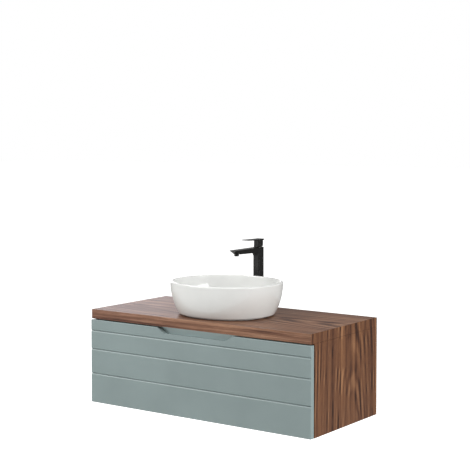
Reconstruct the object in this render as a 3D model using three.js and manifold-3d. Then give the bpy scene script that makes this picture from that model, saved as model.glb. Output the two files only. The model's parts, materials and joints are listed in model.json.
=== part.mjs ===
// Wall-hung vanity: one wide drawer under a wooden worktop, an oval vessel basin standing on
// the worktop, a tall single-lever mixer behind it, and the bottle trap that hangs in the
// drawer's recess. Millimetres. +X along the width, +Y into the wall, +Z up.
// The origin is the middle of the wall rail's back face, on the wall plane.
import * as THREE from 'three';
import { mergeVertices } from 'three/addons/utils/BufferGeometryUtils.js';
import Module from 'manifold-3d';

const wasm = await Module();
wasm.setup();

// ---- driving dimensions -------------------------------------------------------------
const WIDTH = 1000;
const DEPTH = 460;
const HEIGHT = 362;
const TOP_THICKNESS = 36;
const BOARD = 16;
const FRONT_THICKNESS = 20;
const GAP = 0.3; // between pieces that touch
const TOP_SETBACK = 3; // the worktop's front edge stands behind the drawer front's face
const FRONT_REVEAL = 5; // shadow gap between the drawer front and the carcass
const RAIL_DROP = 86; // worktop surface above the wall rail's centre

const INNER = WIDTH / 2 - BOARD; // half the clear width between the side panels
const UNDERSIDE = -TOP_THICKNESS; // the worktop's lower face, heights count from its top
const BOTTOM = -HEIGHT;
const CARCASS_FRONT = -(DEPTH - FRONT_THICKNESS - FRONT_REVEAL);
const REAR_BOARD = { back: -14, front: -30 };

const BASIN = {
  x: 0,
  y: -258,
  rim: 215, // half the long axis
  squeeze: 192 / 215, // short axis over long axis
  height: 126,
  inset: 34, // how far the wall leans in from rim to base
  lean: 2.2, // exponent of that curve
  lip: 10,
  base: 5,
  foot: 168,
  floor: 18,
};

const FRONT = {
  halfWidth: 500,
  top: -40,
  bottom: -361,
  grooves: [-81.5, -153.5, -248],
  grooveRise: 2.2, // from the groove's bottom up and down to the face
  grooveFall: 4.8,
  grooveDepth: 4.2,
  notchTop: 175, // half widths of the finger notch
  notchBottom: 139,
  notchDepth: 20,
  lip: 8, // thickness left in front of the fingertips
  channelFloor: -76,
};

const DRAWER = {
  outer: INNER - 12,
  top: -150,
  sideBottom: -340,
  floorTop: -315,
  floorBottom: -327,
  rear: -46,
  recess: 100, // half width of the recess around the trap
  recessFront: -305,
};
DRAWER.inner = DRAWER.outer - BOARD;

const TAP = {
  x: 0,
  y: -46,
  side: 33,
  corner: 7,
  top: 237,
  reach: 171,
  spoutWidth: 31,
  aerator: 147, // distance of the outlet from the column's axis
  cartridgeRadius: 12.5,
};

const WASTE = { thread: 20.9, bore: 18, hole: 23, deckHole: 27, bottom: -78 };
const TRAP = { pipe: 16, outlet: -196 };

// ---- colours and finishes --------------------------------------------------------------
const finish = (color, roughness, metalness = 0) => ({ color, roughness, metalness });
const WALNUT = finish(0x7d5b48, 0.55);
const SAGE = finish(0x93a5a3, 0.5);
const BOARD_GREY = finish(0xb9b5ac, 0.7);
const CERAMIC = finish(0xe9eae6, 0.12);
const BLACK = finish(0x1b1b1c, 0.4, 0.3);
const STEEL = finish(0xa9adb0, 0.35, 0.9);
const BRASS = finish(0xb08a4a, 0.35, 0.9);
const RUBBER = finish(0x222222, 0.85);
const WHITE_PLASTIC = finish(0xe6e6e3, 0.45);
const GREY_PLASTIC = finish(0x6b6e70, 0.55);

// ---- geometry helpers ------------------------------------------------------------------
function signedVolume(geometry) {
  const p = geometry.attributes.position;
  const index = geometry.index;
  const a = new THREE.Vector3();
  const b = new THREE.Vector3();
  const c = new THREE.Vector3();
  let volume = 0;
  for (let i = 0; i < index.count; i += 3) {
    a.fromBufferAttribute(p, index.getX(i));
    b.fromBufferAttribute(p, index.getX(i + 1));
    c.fromBufferAttribute(p, index.getX(i + 2));
    volume += a.dot(b.cross(c));
  }
  return volume;
}

// Merges the shared vertices of a closed surface and turns its faces outwards.
function weld(geometry) {
  geometry.deleteAttribute('normal');
  geometry.deleteAttribute('uv');
  const welded = mergeVertices(geometry, 1e-4);
  if (signedVolume(welded) < 0) {
    const order = welded.index.array;
    for (let i = 0; i < order.length; i += 3) {
      [order[i + 1], order[i + 2]] = [order[i + 2], order[i + 1]];
    }
  }
  return welded;
}

function toSolid(geometry) {
  const welded = weld(geometry);
  const vertProperties = new Float32Array(welded.attributes.position.array);
  const triVerts = new Uint32Array(welded.index.array);
  return new wasm.Manifold(new wasm.Mesh({ numProp: 3, vertProperties, triVerts }));
}

function toGeometry(solid) {
  const mesh = solid.getMesh();
  const positions = new Float32Array(mesh.numVert * 3);
  for (let i = 0; i < mesh.numVert; i += 1) {
    for (let k = 0; k < 3; k += 1) {
      positions[3 * i + k] = mesh.vertProperties[mesh.numProp * i + k];
    }
  }
  const geometry = new THREE.BufferGeometry();
  geometry.setAttribute('position', new THREE.BufferAttribute(positions, 3));
  geometry.setIndex(Array.from(mesh.triVerts));
  return geometry;
}

const cut = (body, ...tools) =>
  toGeometry(tools.reduce((solid, tool) => solid.subtract(toSolid(tool)), toSolid(body)));
const join = (...bodies) =>
  toGeometry(bodies.map(toSolid).reduce((all, solid) => all.add(solid)));

// A box between two corners.
function block(x0, x1, y0, y1, z0, z1) {
  const geometry = new THREE.BoxGeometry(x1 - x0, y1 - y0, z1 - z0);
  return geometry.translate((x0 + x1) / 2, (y0 + y1) / 2, (z0 + z1) / 2);
}

// An upright cylinder.
function post(radius, x, y, z0, z1, sides = 28) {
  const geometry = new THREE.CylinderGeometry(radius, radius, z1 - z0, sides);
  return geometry.rotateX(Math.PI / 2).translate(x, y, (z0 + z1) / 2);
}

// A cylinder lying along Y.
function bar(radius, x, z, y0, y1, sides = 28) {
  const geometry = new THREE.CylinderGeometry(radius, radius, y1 - y0, sides);
  return geometry.translate(x, (y0 + y1) / 2, z);
}

const outline = (points) => new THREE.Shape(points.map(([u, v]) => new THREE.Vector2(u, v)));
const extrude = (shape, depth, curveSegments = 8) =>
  new THREE.ExtrudeGeometry(shape, { depth, bevelEnabled: false, curveSegments });

// A prism along X from an outline in (y, z).
function prismX(shape, x0, x1, curveSegments) {
  const geometry = extrude(shape, x1 - x0, curveSegments);
  const axes = new THREE.Matrix4().set(0, 0, 1, x0, 1, 0, 0, 0, 0, 1, 0, 0, 0, 0, 0, 1);
  return geometry.applyMatrix4(axes);
}

// A prism along Y from an outline in (x, z).
function prismY(shape, y0, y1, curveSegments) {
  const geometry = extrude(shape, y1 - y0, curveSegments);
  const axes = new THREE.Matrix4().set(1, 0, 0, 0, 0, 0, -1, y1, 0, 1, 0, 0, 0, 0, 0, 1);
  return geometry.applyMatrix4(axes);
}

// A prism along Z from an outline in (x, y).
const prismZ = (shape, z0, z1, curveSegments) =>
  extrude(shape, z1 - z0, curveSegments).translate(0, 0, z0);

// A turned solid about an upright axis from (radius, z) points.
function turned(points, x = 0, y = 0, sides = 28) {
  const profile = points.map(([r, z]) => new THREE.Vector2(r, z));
  const open = profile[0].x !== 0 || profile[profile.length - 1].x !== 0;
  if (open) profile.push(profile[0].clone());
  return new THREE.LatheGeometry(profile, sides).rotateX(Math.PI / 2).translate(x, y, 0);
}

// A turned solid about an axis along Y from (radius, y) points.
function turnedY(points, x, z, sides = 28) {
  const profile = points.map(([r, y]) => new THREE.Vector2(r, y));
  profile.push(profile[0].clone());
  return new THREE.LatheGeometry(profile, sides).translate(x, 0, z);
}

function roundedRect(cx, cy, w, h, r) {
  const shape = new THREE.Shape();
  const x = w / 2 - r;
  const y = h / 2 - r;
  shape.moveTo(cx + w / 2, cy - y);
  shape.absarc(cx + x, cy + y, r, 0, Math.PI / 2);
  shape.absarc(cx - x, cy + y, r, Math.PI / 2, Math.PI);
  shape.absarc(cx - x, cy - y, r, Math.PI, 1.5 * Math.PI);
  shape.absarc(cx + x, cy - y, r, 1.5 * Math.PI, 2 * Math.PI);
  return shape;
}

function ring(cx, cy, outer, inner) {
  const shape = new THREE.Shape();
  shape.absarc(cx, cy, outer, 0, 2 * Math.PI);
  const hole = new THREE.Path();
  hole.absarc(cx, cy, inner, 0, 2 * Math.PI, true);
  shape.holes.push(hole);
  return shape;
}

function hexNut(cx, cy, acrossFlats, bore) {
  const corner = acrossFlats / Math.sqrt(3);
  const points = [];
  for (let i = 0; i < 6; i += 1) {
    const turn = (i * Math.PI) / 3;
    points.push([cx + corner * Math.cos(turn), cy + corner * Math.sin(turn)]);
  }
  const shape = outline(points);
  const hole = new THREE.Path();
  hole.absarc(cx, cy, bore, 0, 2 * Math.PI, true);
  shape.holes.push(hole);
  return shape;
}

// ---- the assembly ------------------------------------------------------------------------
const vanity = new THREE.Group();
const deck = new THREE.Group(); // heights inside count from the worktop's surface
deck.position.z = RAIL_DROP;
vanity.add(deck);

function piece(name, geometry, look) {
  const mesh = new THREE.Mesh(weld(geometry), new THREE.MeshStandardMaterial(look));
  mesh.name = name;
  deck.add(mesh);
}

const SIDES = [
  ['left', -1],
  ['right', 1],
];

// A box whose x span is given for the right-hand side and mirrored for the left.
function sided(sign, near, far, y0, y1, z0, z1) {
  return block(Math.min(sign * near, sign * far), Math.max(sign * near, sign * far), y0, y1, z0, z1);
}

// ---- carcass -------------------------------------------------------------------------------
function addCarcass() {
  const half = WIDTH / 2;
  piece(
    'worktop',
    cut(
      block(-half, half, -DEPTH + TOP_SETBACK, 0, UNDERSIDE, 0),
      post(17.5, TAP.x, TAP.y, UNDERSIDE - 1, 1),
      post(WASTE.deckHole, BASIN.x, BASIN.y, UNDERSIDE - 1, 1),
    ),
    WALNUT,
  );
  for (const [side, sign] of SIDES) {
    piece(
      `side_panel_${side}`,
      sided(sign, INNER, half, CARCASS_FRONT, 0, BOTTOM, UNDERSIDE - GAP),
      WALNUT,
    );
  }
  const span = INNER - GAP;
  const stretcherTop = UNDERSIDE - GAP;
  const stretcher = block(-span, span, CARCASS_FRONT, CARCASS_FRONT + BOARD, -106, stretcherTop);
  piece('front_stretcher', stretcher, SAGE);

  // The upper rear board is notched at both ends for the hangers, and in the middle for
  // the mixer's shank and its nut.
  const notch = 461;
  const shoulder = -106;
  const shankNotch = 34;
  const notchFloor = -82;
  piece(
    'rear_board_upper',
    prismY(
      outline([
        [-span, -146],
        [span, -146],
        [span, shoulder],
        [notch, shoulder],
        [notch, stretcherTop],
        [shankNotch, stretcherTop],
        [shankNotch, notchFloor],
        [-shankNotch, notchFloor],
        [-shankNotch, stretcherTop],
        [-notch, stretcherTop],
        [-notch, shoulder],
        [-span, shoulder],
      ]),
      REAR_BOARD.front,
      REAR_BOARD.back,
    ),
    BOARD_GREY,
  );
  piece(
    'rear_board_lower',
    block(-span, span, REAR_BOARD.front, REAR_BOARD.back, BOTTOM, -292),
    BOARD_GREY,
  );
}

// ---- wall fixing ---------------------------------------------------------------------------
function addWallFixing() {
  // Steel rail: a flat band on the wall, with a lip that stands off it for the hooks.
  const rail = prismX(
    outline([
      [0, -101],
      [0, -71],
      [-5, -67.5],
      [-5, -58],
      [-7, -58],
      [-7, -68.5],
      [-2, -72],
      [-2, -101],
    ]),
    -478,
    478,
  );
  const screwHoles = [-420, -210, 210, 420].map((x) => bar(3.5, x, -RAIL_DROP, -3, 1, 16));
  piece('wall_rail', cut(rail, ...screwHoles), STEEL);

  // Hangers screwed inside the side panels, each with a hook over the rail's lip.
  const hook = outline([
    [-75, -105],
    [-8, -105],
    [-8, -57],
    [-4.5, -57],
    [-4.5, -66],
    [-1.5, -66],
    [-1.5, -51],
    [-14, -51],
    [-14, -45],
    [-75, -45],
  ]);
  for (const [side, sign] of SIDES) {
    const inner = sign > 0 ? 462 : -INNER + GAP;
    const body = prismX(hook, inner, inner + 21.7);
    const screwHole = bar(4.3, inner + 10.85, -92, -76, -60, 16);
    piece(`hanger_${side}`, cut(body, screwHole), STEEL);
    piece(`hanger_screw_${side}`, bar(4, inner + 10.85, -92, -79, -61, 16), STEEL);
  }

  // Steel angles that hold the worktop down on the side panels.
  for (const [side, sign] of SIDES) {
    const leg = INNER - GAP;
    const top = UNDERSIDE - GAP;
    const angle = outline(
      [
        [leg, top],
        [leg, top - 30],
        [leg - 2, top - 30],
        [leg - 2, top - 2],
        [leg - 30, top - 2],
        [leg - 30, top],
      ].map(([x, z]) => [sign * x, z]),
    );
    piece(`worktop_angle_front_${side}`, prismY(angle, -330, -300), STEEL);
    piece(`worktop_angle_rear_${side}`, prismY(angle, -160, -130), STEEL);
  }
}

// ---- drawer --------------------------------------------------------------------------------
function addDrawer() {
  // The front board's section: V grooves across its face, cut out at the top for fingers.
  const face = -DEPTH;
  const back = face + FRONT_THICKNESS;
  const section = [
    [back, FRONT.bottom],
    [back, FRONT.top],
    [face, FRONT.top],
  ];
  for (const z of FRONT.grooves) {
    section.push([face, z + FRONT.grooveRise]);
    section.push([face + FRONT.grooveDepth, z]);
    section.push([face, z - FRONT.grooveFall]);
  }
  section.push([face, FRONT.bottom]);
  const slope = (FRONT.notchTop - FRONT.notchBottom) / FRONT.notchDepth;
  const above = FRONT.notchTop + 5 * slope;
  const notch = prismY(
    outline([
      [-above, FRONT.top + 5],
      [-FRONT.notchBottom, FRONT.top - FRONT.notchDepth],
      [FRONT.notchBottom, FRONT.top - FRONT.notchDepth],
      [above, FRONT.top + 5],
    ]),
    face - 1,
    back + 1,
  );
  // Behind the notch's lip a channel takes the fingertips.
  const reach = FRONT.notchBottom;
  const channel = block(-reach, reach, face + FRONT.lip, back + 1, FRONT.channelFloor, FRONT.top);
  const board = prismX(outline(section), -FRONT.halfWidth, FRONT.halfWidth);
  piece('drawer_front', cut(board, notch, channel), SAGE);

  const { inner, outer, top, sideBottom, floorTop, floorBottom, rear } = DRAWER;
  const { recess, recessFront } = DRAWER;
  const boxFront = back + GAP;
  const span = inner - GAP;
  piece('drawer_box_front', block(-span, span, boxFront, boxFront + BOARD, floorBottom, top), BOARD_GREY);
  for (const [side, sign] of SIDES) {
    piece(
      `drawer_side_${side}`,
      sided(sign, inner, outer, boxFront, rear, sideBottom, top),
      BOARD_GREY,
    );
  }

  // The bottom board is a U round the trap's recess, which the three inner walls line.
  const floorFront = boxFront + BOARD + GAP;
  piece(
    'drawer_bottom',
    prismZ(
      outline([
        [-span, floorFront],
        [span, floorFront],
        [span, rear],
        [recess, rear],
        [recess, recessFront],
        [-recess, recessFront],
        [-recess, rear],
        [-span, rear],
      ]),
      floorBottom,
      floorTop,
    ),
    BOARD_GREY,
  );
  const lining = recess + BOARD;
  const stand = floorTop + GAP;
  for (const [side, sign] of SIDES) {
    piece(
      `recess_wall_${side}`,
      sided(sign, recess, lining, recessFront + GAP, rear, stand, top),
      BOARD_GREY,
    );
    piece(
      `drawer_back_${side}`,
      sided(sign, lining + GAP, span, rear - BOARD, rear, stand, top),
      BOARD_GREY,
    );
  }
  piece(
    'recess_wall_front',
    block(-lining, lining, recessFront - BOARD, recessFront, stand, top),
    BOARD_GREY,
  );
}

// ---- undermount slides -----------------------------------------------------------------------
function addSlides() {
  const front = -432;
  const rear = -36;
  const centre = 446;
  const channel = (half, wall, bottom, top) => [
    [centre - half, bottom],
    [centre - half, top],
    [centre + half, top],
    [centre + half, bottom],
    [centre + half - wall, bottom],
    [centre + half - wall, top - wall],
    [centre - half + wall, top - wall],
    [centre - half + wall, bottom],
  ];
  for (const [side, sign] of SIDES) {
    const mirrored = (points) => outline(points.map(([x, z]) => [sign * x, z]));
    const wall = INNER - GAP;
    const cabinetRail = [
      [wall, -352],
      [wall, -300],
      [wall - 1.5, -300],
      [wall - 1.5, -350.5],
      [centre + 2, -350.5],
      [centre + 2, -334],
      [centre - 2, -334],
      [centre - 2, -350.5],
      [centre - 12, -350.5],
      [centre - 12, -352],
    ];
    piece(`slide_cabinet_rail_${side}`, prismY(mirrored(cabinetRail), front, rear), STEEL);
    const middle = mirrored(channel(5, 1.5, -348, -331));
    piece(`slide_middle_rail_${side}`, prismY(middle, front + 4, rear - 4), STEEL);
    const upper = mirrored(channel(8, 1.5, -347, DRAWER.floorBottom - GAP));
    piece(`slide_drawer_rail_${side}`, prismY(upper, front + 14, rear - 10), STEEL);
    piece(
      `front_clip_${side}`,
      sided(sign, 392, 436, -423, -370, -339, DRAWER.floorBottom - GAP),
      GREY_PLASTIC,
    );
  }
}

// ---- basin and waste -------------------------------------------------------------------------
// Turns the circles of a lathe into the basin's oval, a little fuller than an ellipse.
function oval(geometry) {
  const p = geometry.attributes.position;
  const fullness = 2.15;
  for (let i = 0; i < p.count; i += 1) {
    const x = p.getX(i);
    const y = p.getY(i);
    const r = Math.hypot(x, y);
    if (r < 50) continue;
    const share = Math.min(1, (r - 50) / 100);
    const c = Math.abs(x / r) ** fullness;
    const s = Math.abs(y / r) ** fullness;
    const full = (c + s) ** (-1 / fullness);
    const stretch = 1 + share * (full - 1);
    const squeeze = 1 + share * (BASIN.squeeze - 1);
    p.setXY(i, x * stretch, y * stretch * squeeze);
  }
  return geometry;
}

function addBasin() {
  const { rim, height, inset, lean, lip, base, foot, floor } = BASIN;
  const wallAt = (z) => rim - inset * (1 - z / height) ** lean;
  const profile = [
    [WASTE.hole, floor - 2.5],
    [WASTE.hole, GAP],
    [45, GAP],
    [47, 7],
    [foot - 18, 7],
    [foot - 16, GAP],
    [foot, GAP],
    [foot + 2, base - 0.5],
    [wallAt(base) - 3, base - 0.5],
    [wallAt(base), base + 1.5],
  ];
  const wallSteps = 7;
  for (let i = 1; i < wallSteps; i += 1) {
    const z = base + ((height - base - 6) * i) / wallSteps;
    profile.push([wallAt(z), z]);
  }
  // Rounded lip between the outer wall and the bowl.
  const lipRadius = lip / 2;
  const lipSteps = 4;
  for (let i = 0; i <= lipSteps; i += 1) {
    const turn = (Math.PI * i) / lipSteps;
    const z = height - lipRadius * (1 - Math.sin(turn));
    profile.push([rim - lipRadius * (1 - Math.cos(turn)), z]);
  }
  // The bowl: steep sides that round over into an almost flat floor.
  const bowlTop = height - lipRadius;
  const bowlRadius = rim - lip;
  const bowlSteps = 10;
  for (let i = 1; i < bowlSteps; i += 1) {
    const turn = (Math.PI / 2) * (i / bowlSteps);
    const r = bowlRadius * Math.cos(turn) ** (2 / 4.5);
    const z = bowlTop - (bowlTop - floor) * Math.sin(turn) ** (2 / 3);
    profile.push([r, z]);
  }
  profile.push([34, floor]);
  profile.push([33.6, floor - 2.5]);
  const bowl = turned(profile, 0, 0, 48);
  piece('basin', oval(bowl).translate(BASIN.x, BASIN.y, 0), CERAMIC);
}

function addWaste() {
  const { x, y } = BASIN;
  const seat = BASIN.floor - 2.5 + GAP;
  const { thread, bore, bottom } = WASTE;
  // Flange, threaded tail and the guide that carries the plug's stem.
  const tail = turned(
    [
      [bore, bottom],
      [thread, bottom],
      [thread, seat],
      [33, seat],
      [33, seat + 1.5],
      [31, seat + 3],
      [bore + 3, seat + 3],
      [bore, seat],
    ],
    x,
    y,
  );
  const spokes = [0, 1].map((i) => {
    const arm = block(-bore - 1, bore + 1, -2, 2, -14, -4);
    return arm.rotateZ((i * Math.PI) / 2).translate(x, y, 0);
  });
  const guide = join(tail, ...spokes, post(7, x, y, -16, -4, 24));
  piece('waste_body', cut(guide, post(4.3, x, y, -20, 0, 24)), BRASS);

  const cap = seat + 3 + GAP;
  piece(
    'waste_plug',
    turned(
      [
        [0, -15],
        [4, -15],
        [4, cap],
        [30, cap],
        [31.5, cap + 1.5],
        [30.5, cap + 3.6],
        [22, cap + 5],
        [0, cap + 5.8],
      ],
      x,
      y,
    ),
    BLACK,
  );
  const under = UNDERSIDE - GAP;
  piece('waste_rubber_washer', prismZ(ring(x, y, 38, thread + GAP), under - 4, under, 14), RUBBER);
  const nutTop = under - 4 - GAP;
  piece('waste_back_nut', prismZ(hexNut(x, y, 58, thread + GAP), nutTop - 10, nutTop, 14), BRASS);
}

// ---- bottle trap -------------------------------------------------------------------------------
function addTrap() {
  const { x, y } = BASIN;
  const { pipe, outlet } = TRAP;
  const { thread, bottom } = WASTE;
  // Slip nut on the waste's thread, holding the inlet pipe's collar.
  const nutTop = bottom + 16;
  const collar = bottom - GAP;
  piece(
    'trap_inlet_nut',
    turned(
      [
        [thread + GAP, nutTop],
        [thread + 5, nutTop],
        [thread + 5, bottom - 14],
        [pipe + GAP, bottom - 14],
        [pipe + GAP, collar - 4 - GAP],
        [thread + GAP, collar - 4 - GAP],
      ],
      x,
      y,
    ),
    WHITE_PLASTIC,
  );
  piece(
    'trap_inlet_pipe',
    turned(
      [
        [pipe - 2, collar],
        [thread - 1, collar],
        [thread - 1, collar - 4],
        [pipe, collar - 4],
        [pipe, outlet - 40],
        [pipe - 2, outlet - 40],
      ],
      x,
      y,
    ),
    WHITE_PLASTIC,
  );
  // Bottle: a bell with the outlet branch, closed below by the screwed cup.
  const bottleTop = outlet + 34;
  const cupTop = outlet - 26;
  const bottle = turned(
    [
      [pipe + GAP, bottleTop],
      [24, bottleTop],
      [24, bottleTop - 8],
      [31, bottleTop - 14],
      [31, cupTop + GAP],
      [28.5, cupTop + GAP],
      [28.5, bottleTop - 16],
      [pipe + GAP, bottleTop - 16],
    ],
    x,
    y,
  );
  const branchStart = y + 20;
  const branchEnd = y + 58;
  const branch = bar(pipe + 3, x, outlet, branchStart, branchEnd);
  const waterway = bar(pipe + GAP, x, outlet, branchStart - 6, branchEnd + 1);
  const throat = post(28.5, x, y, cupTop - 1, bottleTop - 16, 28);
  piece('trap_bottle', cut(join(bottle, branch), waterway, throat), WHITE_PLASTIC);
  piece(
    'trap_head_nut',
    turned(
      [
        [pipe + GAP, bottleTop + GAP],
        [27, bottleTop + GAP],
        [27, bottleTop + 14],
        [22, bottleTop + 18],
        [pipe + GAP, bottleTop + 18],
      ],
      x,
      y,
    ),
    WHITE_PLASTIC,
  );
  piece(
    'trap_cup',
    turned(
      [
        [0, cupTop - 42],
        [26, cupTop - 42],
        [33, cupTop - 36],
        [34, cupTop],
        [28, cupTop],
        [28, cupTop - 36],
        [0, cupTop - 38],
      ],
      x,
      y,
    ),
    WHITE_PLASTIC,
  );
  // Outlet pipe to the wall with its slip nut and wall rosette.
  const pipeStart = branchStart + 14;
  const wallGap = -GAP;
  piece(
    'trap_outlet_pipe',
    turnedY(
      [
        [pipe - 2, pipeStart],
        [pipe, pipeStart],
        [pipe, wallGap],
        [pipe - 2, wallGap],
      ],
      x,
      outlet,
    ),
    WHITE_PLASTIC,
  );
  piece(
    'trap_outlet_nut',
    turnedY(
      [
        [pipe + GAP, branchEnd + GAP],
        [26, branchEnd + GAP],
        [26, branchEnd + 16],
        [21, branchEnd + 20],
        [pipe + GAP, branchEnd + 20],
      ],
      x,
      outlet,
    ),
    WHITE_PLASTIC,
  );
  piece(
    'wall_rosette',
    turnedY(
      [
        [pipe + GAP, -12],
        [pipe + 4, -12],
        [34, -4],
        [36, 0],
        [pipe + GAP, 0],
      ],
      x,
      outlet,
    ),
    WHITE_PLASTIC,
  );
}

// ---- mixer tap -----------------------------------------------------------------------------------
function addTap() {
  const { x, y, side, corner, top, reach, spoutWidth, aerator, cartridgeRadius } = TAP;
  const shank = 16;
  const shankBottom = -76;
  piece('tap_base_ring', prismZ(ring(x, y, 24, shank + GAP), GAP, 3, 14), BLACK);

  // Column with the spout grown out of its front, and the threaded shank below.
  const columnBottom = 3 + GAP;
  const column = prismZ(roundedRect(x, y, side, side, corner), columnBottom, top, 6);
  const spoutShape = new THREE.Shape();
  const fillet = 12;
  const front = y - side / 2;
  const underRoot = 217;
  const underTip = 220;
  spoutShape.moveTo(y, top - 0.5);
  spoutShape.lineTo(y - reach, top - 1);
  spoutShape.lineTo(y - reach, top - 2.5);
  spoutShape.lineTo(y - aerator + 2, underTip);
  spoutShape.lineTo(front - fillet, underRoot);
  spoutShape.absarc(front - fillet, underRoot - fillet, fillet, Math.PI / 2, 0, true);
  spoutShape.lineTo(y, underRoot - fillet);
  const spout = prismX(spoutShape, x - spoutWidth / 2, x + spoutWidth / 2, 6);
  const stud = post(shank, x, y, shankBottom, columnBottom + 4);
  const socket = post(cartridgeRadius + GAP, x, y, 196, top + 1);
  const supply = post(10, x, y, shankBottom - 1, 186, 24);
  const outletBore = post(9.3, x, y - aerator, underRoot - 5, 230, 24);
  const channel = block(x - 4, x + 4, y - aerator, y, 226, 230);
  const body = cut(join(column, spout, stud), socket, supply, outletBore, channel);
  piece('tap_body', body, BLACK);
  piece('aerator', post(9, x, y - aerator, underTip - 7.5, 225.7, 24), BLACK);

  // Ceramic cartridge, the ring that screws it down, and its turning carrier.
  const carrierRadius = 8;
  piece(
    'cartridge',
    turned(
      [
        [0, 197],
        [cartridgeRadius, 197],
        [cartridgeRadius, 229],
        [carrierRadius + GAP, 229],
        [carrierRadius + GAP, 226],
        [0, 226],
      ],
      x,
      y,
      32,
    ),
    WHITE_PLASTIC,
  );
  piece(
    'cartridge_ring',
    prismZ(ring(x, y, cartridgeRadius, carrierRadius + GAP), 229 + GAP, top - 0.5, 12),
    BRASS,
  );
  const pivot = top + 1.3;
  piece(
    'cartridge_carrier',
    cut(
      post(carrierRadius, x, y, 226 + GAP, top - 0.5),
      block(x - 3.3, x + 3.3, y - 5.5, y + 5.5, pivot - 7.8, top + 1),
    ),
    WHITE_PLASTIC,
  );
  piece('cartridge_stem', block(x - 3, x + 3, y - 2.7, y + 2.7, pivot - 6.8, 252), BRASS);

  // Handle: a block over the cartridge, bevelled under its rear so that it can tip back,
  // with a wider, thin lever plate on top.
  const under = top + 0.8;
  const plateBottom = 264;
  const plateTop = 269;
  const half = side / 2;
  const coreHalf = half - 2;
  const rearRise = 6.2;
  const core = prismZ(roundedRect(x, y, 2 * coreHalf, 2 * coreHalf, 6), under, plateBottom + 0.5, 6);
  const bevel = prismX(
    outline([
      [y + 1, under - 1],
      [y + coreHalf + 2, under - 1],
      [y + coreHalf + 2, under + rearRise],
      [y + 1, under],
    ]),
    x - side,
    x + side,
  );
  const tip = y - 91;
  const plateShape = outline([
    [y + half, plateBottom],
    [y + half, plateTop],
    [y - half, plateTop],
    [tip, plateTop + 2],
    [tip, plateTop - 1],
    [y - half, plateBottom],
  ]);
  const plate = prismX(plateShape, x - half, x + half);
  const socketForStem = block(x - 3.3, x + 3.3, y - 3, y + 3, under - 1, 252.3);
  const screwHole = bar(2.8, x, 246, y + 2.9, y + coreHalf + 1, 16);
  const handle = cut(join(core, plate), bevel, socketForStem, screwHole);
  piece('lever_handle', handle, BLACK);
  piece('handle_screw', bar(2.5, x, 246, y + 3 + GAP, y + coreHalf - 1.5, 16), STEEL);

  // Fixings under the worktop and the two inlet nipples.
  const below = UNDERSIDE - GAP;
  piece('tap_rubber_washer', prismZ(ring(x, y, 27, shank + GAP), below - 3, below, 14), RUBBER);
  const nutTop = below - 3 - GAP;
  piece('tap_fixing_nut', prismZ(hexNut(x, y, 42, shank + GAP), nutTop - 10, nutTop, 14), BRASS);
  for (const [name, sign] of [
    ['hot_inlet', -1],
    ['cold_inlet', 1],
  ]) {
    const nipple = turned(
      [
        [0, shankBottom - GAP],
        [4.5, shankBottom - GAP],
        [4.5, shankBottom - 12],
        [6.5, shankBottom - 12],
        [6.5, shankBottom - 24],
        [0, shankBottom - 24],
      ],
      x + sign * 11.5,
      y,
      24,
    );
    piece(name, nipple, BRASS);
  }
}

addCarcass();
addWallFixing();
addDrawer();
addSlides();
addBasin();
addWaste();
addTrap();
addTap();

export default vanity;
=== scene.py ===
"""Looks for a wall-hung vanity: a grooved sage drawer under a walnut worktop, an oval vessel
basin standing on it, and a tall black mixer behind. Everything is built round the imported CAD
frame, in metres, with +X along the width, +Y into the wall and +Z up. Helper shapes take
millimetres."""
import json
import math

import bmesh
import bpy
from mathutils import Matrix, Vector

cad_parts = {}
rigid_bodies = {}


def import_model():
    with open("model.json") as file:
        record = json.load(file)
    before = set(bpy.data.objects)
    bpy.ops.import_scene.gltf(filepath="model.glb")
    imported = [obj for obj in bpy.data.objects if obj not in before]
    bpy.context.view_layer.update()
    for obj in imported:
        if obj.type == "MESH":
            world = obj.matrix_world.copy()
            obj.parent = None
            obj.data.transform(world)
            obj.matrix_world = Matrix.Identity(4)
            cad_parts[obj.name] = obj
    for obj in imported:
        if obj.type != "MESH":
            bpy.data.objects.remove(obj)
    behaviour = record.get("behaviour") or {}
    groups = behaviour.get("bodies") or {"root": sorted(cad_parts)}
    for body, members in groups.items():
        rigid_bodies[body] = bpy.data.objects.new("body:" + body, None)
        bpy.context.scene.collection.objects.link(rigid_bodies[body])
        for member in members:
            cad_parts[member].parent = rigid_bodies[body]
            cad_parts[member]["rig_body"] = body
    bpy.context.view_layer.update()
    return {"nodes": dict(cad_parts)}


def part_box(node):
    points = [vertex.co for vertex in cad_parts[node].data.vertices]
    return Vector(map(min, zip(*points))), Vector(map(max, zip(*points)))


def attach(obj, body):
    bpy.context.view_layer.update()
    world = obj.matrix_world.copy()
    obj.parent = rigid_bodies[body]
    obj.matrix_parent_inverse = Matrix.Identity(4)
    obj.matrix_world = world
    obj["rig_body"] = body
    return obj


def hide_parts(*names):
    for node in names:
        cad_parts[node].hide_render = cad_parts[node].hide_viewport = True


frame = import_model()
nodes = frame["nodes"]
scene = bpy.context.scene

MM = 0.001
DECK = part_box("worktop")[1].z / MM  # the worktop's surface, from which the heights below count
SIDES = (("left", -1), ("right", 1))


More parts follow.
